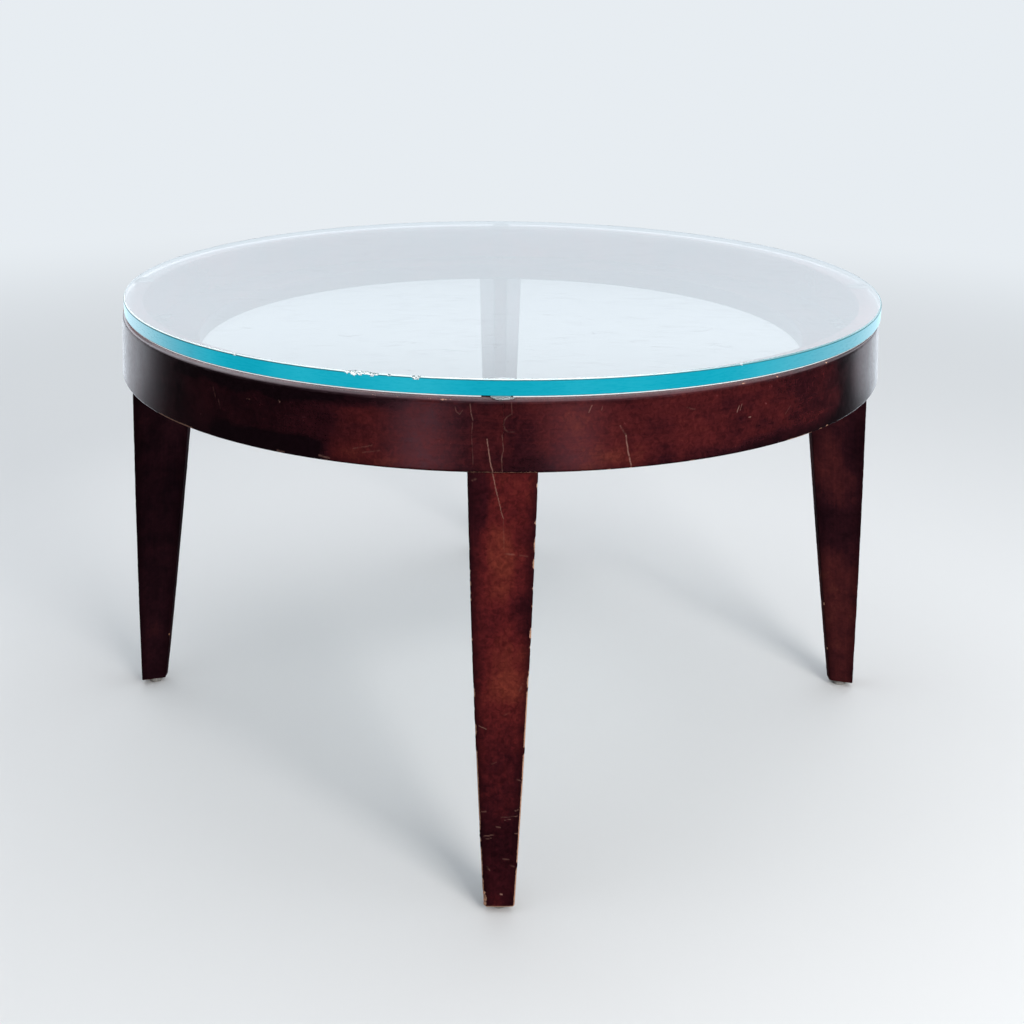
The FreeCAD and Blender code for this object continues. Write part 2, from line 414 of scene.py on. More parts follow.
# marks on the hoop: (arc length from the front, height) in mm, width, strength
HOOP_MARKS = [
    ((-12.5, 418.3), (-10.0, 400.7), 0.50, 0.75), ((-10.0, 400.7), (-7.6, 390.9), 0.50, 0.75),
    ((-0.8, 421.7), (0.4, 409.7), 0.42, 0.30), ((0.4, 409.7), (-1.1, 402.4), 0.42, 0.32),
    ((-1.1, 402.4), (-0.2, 391.2), 0.45, 0.38),
    ((-25.9, 445.8), (-25.0, 437.9), 0.5, 0.28), ((-25.0, 437.9), (-23.4, 433.2), 0.5, 0.32),
    ((-23.8, 431.0), (-24.5, 422.8), 0.45, 0.22), ((-24.4, 421.0), (-23.2, 398.0), 0.42, 0.16),
    ((6.3, 447.1), (6.8, 438.4), 0.5, 0.15), ((6.8, 438.4), (3.2, 436.4), 0.55, 0.13),
    ((3.2, 436.4), (1.2, 433.8), 0.6, 0.17), ((1.2, 433.8), (0.3, 429.8), 0.65, 0.20),
    ((0.3, 429.8), (1.4, 426.2), 0.6, 0.18), ((1.4, 426.2), (4.2, 424.2), 0.55, 0.17),
    ((4.2, 424.2), (9.2, 424.1), 0.5, 0.12),
    ((-37.5, 443.0), (-36.6, 439.5), 0.5, 0.20), ((-36.6, 439.5), (-34.0, 437.6), 0.5, 0.20),
    ((-34.0, 437.6), (-31.6, 440.6), 0.45, 0.16),
    ((69.6, 443.6), (67.1, 438.4), 0.65, 0.34), ((78.0, 442.5), (77.2, 439.5), 0.5, 0.22),
    ((97.6, 418.1), (99.6, 404.8), 0.70, 0.62), ((99.6, 404.8), (102.3, 393.6), 0.75, 0.62),
    ((92.6, 426.0), (97.4, 418.6), 0.9, 0.16),
    ((202.0, 431.0), (199.8, 426.0), 0.7, 0.45), ((204.5, 431.5), (203.0, 427.0), 0.6, 0.26),
    ((212.6, 419.6), (214.4, 419.4), 0.8, 0.55),
    ((-188.4, 434.4), (-187.4, 433.6), 0.8, 0.55), ((-221.5, 431.0), (-218.5, 430.6), 0.6, 0.26),
    ((-262.0, 434.0), (-259.0, 426.0), 0.6, 0.16), ((-255.0, 424.0), (-252.5, 417.0), 0.6, 0.16),
    ((-150.0, 394.6), (-141.0, 393.6), 1.0, 0.30), ((-190.0, 392.8), (-183.0, 392.2), 0.9, 0.36),
    ((-120.0, 404.0), (-104.0, 408.0), 0.7, 0.14), ((-112.0, 401.5), (-98.0, 404.5), 0.7, 0.12),
    ((150.0, 436.0), (158.0, 433.5), 0.6, 0.12), ((255.0, 415.0), (262.0, 421.0), 0.6, 0.10),
]
# marks on the front leg's face: (across, height) in mm
LEG_MARKS = [
    ((-8.0, 390.2), (-4.2, 372.0), 0.45, 0.75), ((-4.2, 372.0), (0.8, 352.5), 0.42, 0.6),
    ((0.8, 352.5), (1.5, 326.6), 0.5, 0.13),
    ((2.3, 323.7), (9.4, 323.0), 0.8, 0.24), ((14.0, 322.4), (20.4, 321.7), 0.7, 0.16),
    ((-18.1, 174.8), (-11.9, 171.7), 0.5, 0.5),
    ((1.1, 90.8), (15.2, 92.4), 0.5, 0.5), ((4.0, 88.6), (9.0, 89.2), 0.45, 0.4),
    ((-13.0, 73.3), (-4.7, 74.9), 0.5, 0.45), ((-11.5, 71.0), (-7.0, 71.6), 0.45, 0.32),
    ((13.0, 75.9), (17.1, 76.4), 0.5, 0.5), ((14.0, 125.9), (17.1, 125.0), 0.5, 0.4),
    ((1.0, 18.6), (2.6, 18.2), 1.0, 0.85), ((-15.0, 96.0), (-11.5, 96.5), 0.7, 0.34),
    ((-3.0, 82.0), (0.5, 81.6), 0.7, 0.34), ((12.5, 97.0), (15.5, 98.0), 0.7, 0.34),
    ((-24.0, 384.0), (-21.0, 385.5), 1.0, 0.22), ((15.0, 205.0), (17.5, 212.0), 0.6, 0.16),
    ((3.0, 184.0), (8.0, 187.0), 0.6, 0.14), ((-7.0, 140.0), (-3.0, 142.0), 0.6, 0.14),
    ((-10.0, 45.0), (-8.0, 41.0), 0.9, 0.26), ((3.0, 52.0), (8.0, 51.5), 0.7, 0.22),
    ((9.5, 46.0), (12.5, 44.5), 0.9, 0.22),
]
SIDE_MARKS = [
    ((-12.0, 214.0), (-9.0, 211.5), 0.9, 0.34), ((6.0, 150.0), (9.0, 152.0), 0.9, 0.34),
    ((-4.0, 96.0), (3.0, 97.5), 0.9, 0.28), ((8.0, 300.0), (14.0, 303.0), 0.9, 0.24),
    ((-9.0, 60.0), (-5.0, 58.0), 0.9, 0.34), ((1.0, 34.0), (4.0, 35.0), 0.9, 0.4),
]

hoop_wood = {
    "front_right": wood("stain_hoop_front_right", "pc", 0, 1.05, 0.52, seed=1.0, brown=1.15),
    "front_left": wood("stain_hoop_front_left", "pc", 0, 1.05, 0.50, seed=2.0, brown=1.15),
    "back_right": wood("stain_hoop_back_right", "pc", 0, 1.05, 0.50, seed=3.0, brown=1.15),
    "back_left": wood("stain_hoop_back_left", "pc", 0, 1.05, 0.48, seed=4.0, brown=1.15),
}
# one stain on all four legs; the front leg's raised tone is painted light and the left leg's lowered tone is painted
# shade, for how the light falls on them
leg_wood = {
    "front": wood("stain_lit_leg_front", "pc", 2, 1.32, 0.60, seed=5.0, spec=0.22, gloss=-0.12, edge_dark=0.7,
                  soft=0.32),
    "right": wood("stain_leg_right", "pc", 2, 1.05, 0.42, seed=6.0, spec=0.10, gloss=-0.2, edge_dark=0.5,
                  soft=0.14, brown=1.65),
    "back": wood("stain_leg_back", "pc", 2, 1.05, 0.44, seed=7.0, spec=0.10, gloss=-0.2, edge_dark=0.5,
                 soft=0.16, brown=1.3),
    "left": wood("stain_shaded_leg_left", "pc", 2, 0.85, 0.24, seed=8.0, spec=0.10, gloss=-0.2, edge_dark=0.5,
                 soft=0.12, brown=1.9),
}
# the ring's lowered tone is painted shade, for its place under the glass inside the hoop
ring_wood = {
    "x": wood("stain_shaded_ring_x", "object", 0, 0.60, 0.44, wear=False, seed=9.0, spec=0.12, gloss=-0.3),
    "y": wood("stain_shaded_ring_y", "object", 1, 0.60, 0.44, wear=False, seed=10.0, spec=0.12, gloss=-0.3),
}


# ------------------------------------------------------------------ hoop quarters
def hoop_profile(step):
    """Closed loop of (radius, height, edge, rim, outer) round the hoop's section."""
    k = (RT - RB) / (ZT - ZB)
    e = 2.0
    out = []
    for r in (REBATE, 374.5, 377.0, 379.2, 380.8, 381.8):
        out.append((r, ZB, 0.12 if r > 380 else 0.0, 0.0, 0.0))
    for a in np.linspace(-90, 0, 9):
        c = math.cos(math.radians(a))
        s = math.sin(math.radians(a))
        out.append((RB - e + e * c, ZB + e + e * s, 1.0 - 0.5 * abs(a + 45) / 45, 1.0, 1.0))
    z0, z1 = ZB + e, ZT - e
    for z in np.linspace(z0, z1, int(round((z1 - z0) / step)) + 1)[1:-1]:
        m = min(z - z0, z1 - z)
        out.append((RB + (z - ZB) * k, z, max(0.0, 0.5 * (1 - m / 3.0)), max(0.0, 1 - m / 6.0) ** 1.5, 1.0))
    for a in np.linspace(0, 90, 9):
        c = math.cos(math.radians(a))
        s = math.sin(math.radians(a))
        out.append((RT - e + e * c, ZT - e + e * s, 1.0 - 0.5 * abs(a - 45) / 45, 1.0, 1.0))
    for r in (RT - 3.2, RT - 5.0, RT - 10.0, RT - 15.0, RT - 18.0):
        out.append((r, ZT, 0.1 if r > RT - 4 else 0.0, 0.3, 0.0))
    for a in np.linspace(90, 180, 4):
        c = math.cos(math.radians(a))
        s = math.sin(math.radians(a))
        out.append((RT - WALL + 1.2 + 1.2 * c, ZT - 1.2 + 1.2 * s, 0.4, 0.5, 0.0))
    for z in np.linspace(ZT - 6, STEP_Z + 3, 6):
        out.append((RB + (z - ZB) * k - WALL, z, 0.0, 0.0, 0.0))
    out.append((RB + (STEP_Z - ZB) * k - WALL, STEP_Z, 0.0, 0.0, 0.0))
    out.append((REBATE - 3, STEP_Z, 0.0, 0.0, 0.0))
    out.append((REBATE, STEP_Z, 0.0, 0.0, 0.0))
    out.append((REBATE, ZB + 8, 0.0, 0.0, 0.0))
    return np.array(out)


# chips on the hoop's edges: arc length, half length, depth, "b" bottom or "t" top
HOOP_CHIPS = [
    (-345.0, 5.0, 0.5, "b"), (-333.0, 7.0, 0.5, "b"), (-318.0, 6.0, 0.6, "b"), (-306.0, 5.0, 0.5, "b"),
    (-296.0, 4.5, 0.7, "b"), (306.7, 2.2, 1.2, "b"), (317.4, 2.0, 1.1, "b"), (-187.0, 2.0, 0.5, "b"),
    (-144.7, 2.4, 0.6, "b"), (102.5, 1.6, 0.6, "b"), (-46.0, 3.0, 0.25, "t"),
    (314.8, 1.4, 0.30, "t"), (245.0, 1.2, 0.22, "t"), (206.0, 2.2, 0.20, "t"),
    (430.0, 3.0, 0.8, "b"), (690.0, 3.5, 0.9, "b"), (905.0, 2.4, 1.0, "b"),
    (1120.0, 3.0, 0.8, "b"), (1490.0, 2.8, 1.0, "b"), (820.0, 3.0, 0.5, "t"), (1370.0, 3.4, 0.6, "t"),
    (1650.0, 3.0, 0.8, "b"), (-470.0, 3.0, 0.7, "b"), (-520.0, 2.2, 0.6, "t"), (510.0, 2.5, 0.6, "t"),
]


def hoop_tone_and_shade(u, z):
    """Where the hoop's outer face is darker and where it is redder: painted shade where the light falls off, at the
    front left, along the lower edge and towards the right end, and lighter, redder patches of tone elsewhere.
    """
    t = np.zeros(len(u))
    n = noise2(u / 21.0, z / 13.0, 71) - 0.5
    w = u + 26 * n
    # front left: painted shade, falling off to near black, blackest low down and under the glass
    fall = 1 - smooth(-205, -105, w)
    fall *= (w > -620)
    t -= 0.36 * fall * smooth(-430, -330, w)
    low = (1 - smooth(398, 412, z + 10 * n)) * smooth(-275, -235, w) * (1 - smooth(-165, -135, w))
    high = smooth(434, 443, z + 6 * n) * smooth(-330, -270, w) * (1 - smooth(-120, -60, w))
    t -= 0.45 * np.maximum(low, high)
    # front right: orange and darker towards the end and dark along the lower edge, painted shade where the light falls
    # off
    t -= 0.06 * smooth(150, 260, w) * (w < 640)
    t -= 0.10 * smooth(330, 420, w) * (w < 640)
    t += 0.16 * np.exp(-((u - 84) / 24) ** 2 - ((z - 402) / 13) ** 2)
    t += 0.12 * np.exp(-((u + 110) / 26) ** 2 - ((z - 399) / 8) ** 2)
    t -= 0.30 * (1 - smooth(393, 407, z + 6 * n)) * smooth(110, 190, w) * (1 - smooth(400, 440, w))
    t -= 0.20 * smooth(300, 345, w) * (w < 640)
    t -= 0.25 * smooth(326, 342, w) * (1 - smooth(366, 392, w))
    # middle, above the leg: darker
    t -= 0.10 * np.exp(-(u / 38) ** 4)
    return t


def hoop_quarter(name, t0, t1, seed):
    front = name.startswith("front")
    prof = hoop_profile(0.75 if front else 3.0)
    u0, u1 = (t0 + 90) * math.pi / 180 * RU, (t1 + 90) * math.pi / 180 * RU
    u0, u1 = u0 + 0.05, u1 - 0.05
    chips = bites([c for c in HOOP_CHIPS if u0 - 10 < c[0] < u1 + 10], 0, seed + 2)
    us = list(np.arange(u0, u1, 1.8)) + [u1]
    for c in chips:
        us += list(np.arange(c[0] - c[1] - 1.0, c[0] + c[1] + 1.0, 0.4))
    for a, b, w, st in HOOP_MARKS:
        us += list(np.arange(min(a[0], b[0]) - 1.2, max(a[0], b[0]) + 1.2, 0.36))
    us = merged([u for u in us if u0 <= u <= u1], 0.22)
    n, m = len(us), len(prof)
    U = np.repeat(us, m)
    R = np.tile(prof[:, 0], n)
    Z = np.tile(prof[:, 1], n)
    edge = np.tile(prof[:, 2], n)
    rim = np.tile(prof[:, 3], n)
    outer = np.tile(prof[:, 4], n)
    top = Z > (ZB + ZT) / 2
    # the eased edges are not quite even, nor is the face quite flat
    wob = (noise1(U / 9.0, seed, 3) - 0.5) * 0.5 * (edge > 0.45) * (outer > 0)
    R = R - np.abs(wob) * 0.8
    R = R - outer * 0.10 * noise2(U / 30.0, Z / 24.0, seed + 3)
    scr = scratches(U, Z, HOOP_MARKS, seed + 20) * outer
    R = R - 0.16 * scr
    P = np.stack([U, R, Z], 1)
    scoops = []
    for c in chips:
        if c[3] == "b":
            centre = np.array([c[0], RB + 0.9, ZB - 0.9])
        else:
            centre = np.array([c[0], RT + 0.9, ZT + 0.9])
        rad = 0.9 * math.sqrt(2) + 0.83 + c[2] * 0.75
        k = c[1] / math.sqrt(max(1e-6, 1 - ((0.9 * math.sqrt(2) + 0.83) / rad) ** 2))
        scoops.append((centre, np.eye(3), (k, rad, rad)))
    chip = carve(P, scoops)
    level = np.where(top, noise1(U / 26.0, seed + 5, 4), noise1(U / 22.0, seed + 9, 4))
    gate = smooth(0.62, 0.76, level) * np.where(top, 0.7, 1.0)
    worn = (smooth(-352, -344, U) * (1 - smooth(-292, -284, U))) * (~top)
    worn = np.maximum(worn, (smooth(-31, -27, U) * (1 - smooth(27, 31, U))) * (~top) * 0.62)
    wear = edge * np.maximum(gate * 0.72, worn)
    # painted shade and stain tone over the outer face
    tint = hoop_tone_and_shade(U, Z) * outer
    # the top lip is rubbed and carries a painted grey sheen, most of all at the front left
    lip = smooth(ZT - 1.9, ZT - 0.5, Z) * (R > RT - 8) * (1.0 - 0.82 * smooth(-270, -90, U) * (U < 700))
    lip = lip * (0.7 + 0.6 * noise1(U / 14.0, seed + 31, 3)) * (0.45 + 0.55 * smooth(-400, -310, U))
    th = P[:, 0] / RU - math.pi / 2
    X = np.stack([P[:, 1] * np.cos(th), P[:, 1] * np.sin(th), P[:, 2]], 1)
    pc = np.stack([U, Z, R], 1) * MM
    return piece("hoop_" + name, X, loft_faces(n, m), [hoop_wood[name]], "frame", "apron_" + name,
                 {"rim": rim, "scr": scr, "wear": wear, "chip": chip, "tint": tint, "lip": lip},
                 {"pc": pc})


for i, (nm, a, b) in enumerate((("front_right", -90, 0), ("back_right", 0, 90), ("back_left", 90, 180),
                                ("front_left", -180, -90))):
    hoop_quarter(nm, a, b, 100 + 40 * i)


# ------------------------------------------------------------------ legs
def leg(name, angle, seed, chips, marks, step, across, wear_gain):
    """Tapered wedge-section leg with eased, knocked-about corners. Corners are numbered
    0 outer/-t, 1 outer/+t, 2 inner/+t, 3 inner/-t; the marks are on the outer face."""
    rho = 1.4
    zt, zb = LEG_Z[0], LEG_Z[2]
    ease = 0.6
    zs = np.linspace(zb + ease, zt, int(round((zt - zb - ease) / step)) + 1)
    near_mm = [0.5, 1.0, 1.6, 2.4, 3.4, 4.8]

    def unit(deg):
        return np.array((math.cos(math.radians(deg)), math.sin(math.radians(deg))))

    def ring(z, inset=0.0):
        ri, ro, w, v = (float(np.polyval(f, z)) for f in LEG_FIT)
        ri, ro, w, v = ri + inset, ro - inset, w - inset, v - inset
        d = math.degrees(math.atan2(w - v, ro - ri))
        turn = [(-90 - d, 0), (0, 90 + d), (90 + d, 180), (180, 270 - d)]
        cen = []
        for (a0, a1), tip in zip(turn, ((ro, -w), (ro, w), (ri, v), (ri, -v))):
            n0, n1 = unit(a0), unit(a1)
            cen.append(np.array(tip) - rho * (n0 + n1) / (1 + n0.dot(n1)))
        pts, tag = [], []
        for c in range(4):
            a0, a1 = turn[c]
            for a in np.linspace(a0, a1, 7):
                pts.append(tuple(cen[c] + rho * unit(a)))
                tag.append((c, 1.0 - 0.25 * abs(2 * a - a0 - a1) / (a1 - a0), 1.0))
            p = np.array(pts[-1])
            nx = (c + 1) % 4
            q = cen[nx] + rho * unit(turn[nx][0])
            L = np.linalg.norm(q - p)
            cnt = across if c == 0 else 7
            near = [x * min(1.0, L / 14.0) for x in near_mm]
            ds = near + list(np.linspace(near[-1], L - near[-1], cnt + 2)[1:-1]) + [L - x for x in near[::-1]]
            for dd in ds:
                pts.append(tuple(p + (q - p) * dd / L))
                m = min(dd, L - dd)
                own = c if dd < L / 2 else nx
                tag.append((own, max(0.0, 0.75 * (1 - m / 3.6)), max(0.0, 1 - m / 9.5) ** 1.4))
        return pts, tag

    rows = []
    for a in np.linspace(90, 0, 5)[:-1]:
        ins = ease * (1 - math.cos(math.radians(a)))
        z = zb + ease - math.sin(math.radians(a)) * ease
        pts, tags = ring(z, ins)
        rows.append([(p[0], p[1], z) for p in pts])
    for z in zs:
        pts, tags = ring(z)
        rows.append([(p[0], p[1], z) for p in pts])
    n, m = len(rows), len(tags)
    P = np.array(rows).reshape(-1, 3)
    corner = np.tile([t[0] for t in tags], n)
    edge = np.tile([t[1] for t in tags], n)
    rim = np.tile([t[2] for t in tags], n)
    Z = P[:, 2].copy()
    mid_r = (np.polyval(LEG_FIT[0], Z) + np.polyval(LEG_FIT[1], Z)) / 2
    pc = np.stack([P[:, 1], P[:, 0] - mid_r, Z], 1)
    half = np.polyval(LEG_FIT[1], Z) - mid_r
    outer = (pc[:, 1] > half - 0.6).astype(float)
    # a hand-finished face is never dead flat
    P[:, 0] -= outer * 0.12 * noise2(pc[:, 0] / 14.0 + 9, Z / 26.0, seed + 4)
    scr = scratches(pc[:, 0], Z, marks, seed + 20) * outer
    P[:, 0] -= 0.16 * scr
    # knocked corners: they recede unevenly, more towards the foot
    gate = np.zeros(len(P))
    for c in range(4):
        sel = corner == c
        z = Z[sel]
        lev = 0.62 * noise1(z / 9.0, seed + 7 * c, 4) + 0.38 * noise1(z / 47.0, seed + 7 * c + 3, 2)
        low_bias = 0.19 * (1 - smooth(20, 330, z)) * wear_gain
        top_bias = -0.10 * smooth(330, 385, z)
        g = smooth(0.50, 0.66, lev + low_bias + top_bias)
        gate[sel] = g
        soft = edge[sel] ** 2
        amt = (0.12 + 0.55 * g * wear_gain + 0.25 * (noise1(z / 3.0, seed + 60 + c, 2) - 0.4)) * soft
        amt = np.maximum(amt, 0) * 0.7
        P[sel, 0] += amt * (-1.0 if c in (0, 1) else 1.0)
        P[sel, 1] += amt * (1.0 if c in (0, 3) else -1.0)
    scoops = []
    for c, z, hl, depth in bites(chips, 1, seed + 1):
        ri, ro, w, v = (float(np.polyval(f, z)) for f in LEG_FIT)
        sr = 1 if c in (0, 1) else -1
        st = -1 if c in (0, 3) else 1
        cr = ro if c in (0, 1) else ri
        centre = np.array([cr + sr * 0.8, st * ((w if c in (0, 1) else v) + 0.8), z])
        base = 0.8 * math.sqrt(2) + 0.58
        rad = base + depth
        kz = hl / math.sqrt(max(1e-6, 1 - (base / rad) ** 2))
        scoops.append((centre, np.eye(3), (rad, rad, kz)))
    chip = carve(P, scoops)
    foot_edge = 1 - (smooth(0.5, 1.7, Z - zb) if name == "front" else smooth(0.1, 1.0, Z - zb))
    wear = np.maximum(np.clip(edge * 1.9 - 0.95, 0, 1) * gate * 0.80 * wear_gain,
                      foot_edge * ((0.70 if name == "front" else 0.40) + 0.4 * noise1(pc[:, 0] * 0.35 + 50, seed + 90, 3)))
    tint = np.zeros(len(P))
    nn = noise2(pc[:, 0] / 9.0 + 5, Z / 21.0, seed + 8) - 0.5
    if name == "front":
        t = pc[:, 0]
        tint += 0.14 * np.exp(-((t - 2) / 15) ** 2) * smooth(150, 230, Z) * (1 - smooth(345, 380, Z))
        tint -= 0.30 * (1 - smooth(-17, -5, t + 9 * nn)) * smooth(280, 330, Z + 20 * nn)
        tint -= 0.16 * smooth(5, 15, t + 8 * nn) * smooth(235, 262, Z) * (1 - smooth(330, 352, Z))
        tint -= 0.34 * (1 - smooth(60, 190, Z + 34 * nn))
    elif name == "right":
        tint += 0.20 * (1 - smooth(125, 180, Z + 24 * nn))
        tint -= 0.14 * np.exp(-((Z - 198) / 35) ** 2)
        tint -= 0.18 * smooth(0, 18, pc[:, 1] + 9 * nn) * smooth(180, 260, Z)
    elif name == "left":
        tint += 0.10 * smooth(280, 330, Z + 24 * nn) + 0.07 * (1 - smooth(115, 170, Z + 24 * nn))
        tint -= 0.10 * np.exp(-((Z - 225) / 60) ** 2)
    else:
        tint -= 0.06 * (1 - smooth(60, 190, Z + 30 * nn))
    a = math.radians(angle)
    X = np.stack([P[:, 0] * math.cos(a) - P[:, 1] * math.sin(a),
                  P[:, 0] * math.sin(a) + P[:, 1] * math.cos(a), P[:, 2]], 1)
    return piece("leg_" + name + "_worn", X, loft_faces(n, m), [leg_wood[name]], "frame", "leg_" + name,
                 {"rim": rim, "scr": scr, "wear": wear, "chip": chip, "tint": tint},
                 {"pc": pc * MM})


FRONT_CHIPS = [
    (0, 312, 3, 0.7), (0, 304, 4, 0.8), (0, 295, 5, 1.2), (0, 283, 3.5, 1.0), (0, 252, 4, 0.9), (0, 232, 2.5, 0.6),
    (0, 80.5, 5, 1.4), (0, 74, 3.5, 1.0), (0, 120, 3, 0.7), (0, 9, 13, 4.0), (0, 8, 7, 5.0), (0, 15, 8, 3.6), (0, 26, 5, 0.9), (0, 45, 6, 0.8),
    (1, 298, 3.5, 0.8), (1, 282, 4.5, 1.0), (1, 256, 6, 1.3), (1, 224, 4, 0.9), (1, 178, 5, 0.8), (1, 150, 3, 0.7),
    (1, 81.5, 4.5, 1.8), (1, 98, 3.5, 0.9), (1, 27.6, 2.6, 1.4), (1, 60, 3, 0.7), (1, 14, 5, 1.0),
    (2, 60, 5, 1.2), (2, 130, 4, 0.9), (3, 90, 5, 1.2), (3, 30, 6, 1.4), (3, 200, 4, 0.8),
]


# small notches, mostly on the corner that shows
RIGHT_CHIPS = [
    (0, 196, 1.6, 0.5), (0, 125, 1.4, 0.4), (0, 104, 1.8, 0.45), (0, 60, 1.2, 0.3), (0, 38, 1.6, 0.4), (0, 300, 1.0, 0.3),
    (3, 100, 0.9, 0.2), (3, 46, 1.0, 0.25), (1, 72, 2.0, 0.5), (1, 160, 1.6, 0.4), (2, 110, 1.8, 0.4),
]
LEFT_CHIPS = [
    (1, 134, 1.4, 0.4), (1, 72, 1.2, 0.3), (1, 47, 1.8, 0.45), (1, 33, 1.4, 0.4), (1, 26, 1.2, 0.35), (1, 20, 1.0, 0.3),
    (2, 60, 0.8, 0.2), (0, 90, 2.0, 0.5), (0, 240, 1.6, 0.4), (3, 120, 1.8, 0.4),
]
BACK_CHIPS = [
    (0, 40, 2.0, 0.6), (0, 150, 1.6, 0.5), (1, 26, 2.4, 0.7), (1, 88, 1.6, 0.5), (1, 210, 1.8, 0.4), (2, 70, 1.4, 0.3),
    (3, 55, 1.4, 0.3),
]


leg("front", SIDES["front"], 300, FRONT_CHIPS, LEG_MARKS, 0.7, 70, 1.12)
leg("right", SIDES["right"], 420, RIGHT_CHIPS, SIDE_MARKS, 1.0, 16, 0.45)
leg("back", SIDES["back"], 540, BACK_CHIPS, SIDE_MARKS, 1.0, 16, 0.7)
leg("left", SIDES["left"], 660, LEFT_CHIPS, SIDE_MARKS, 1.0, 16, 0.4)


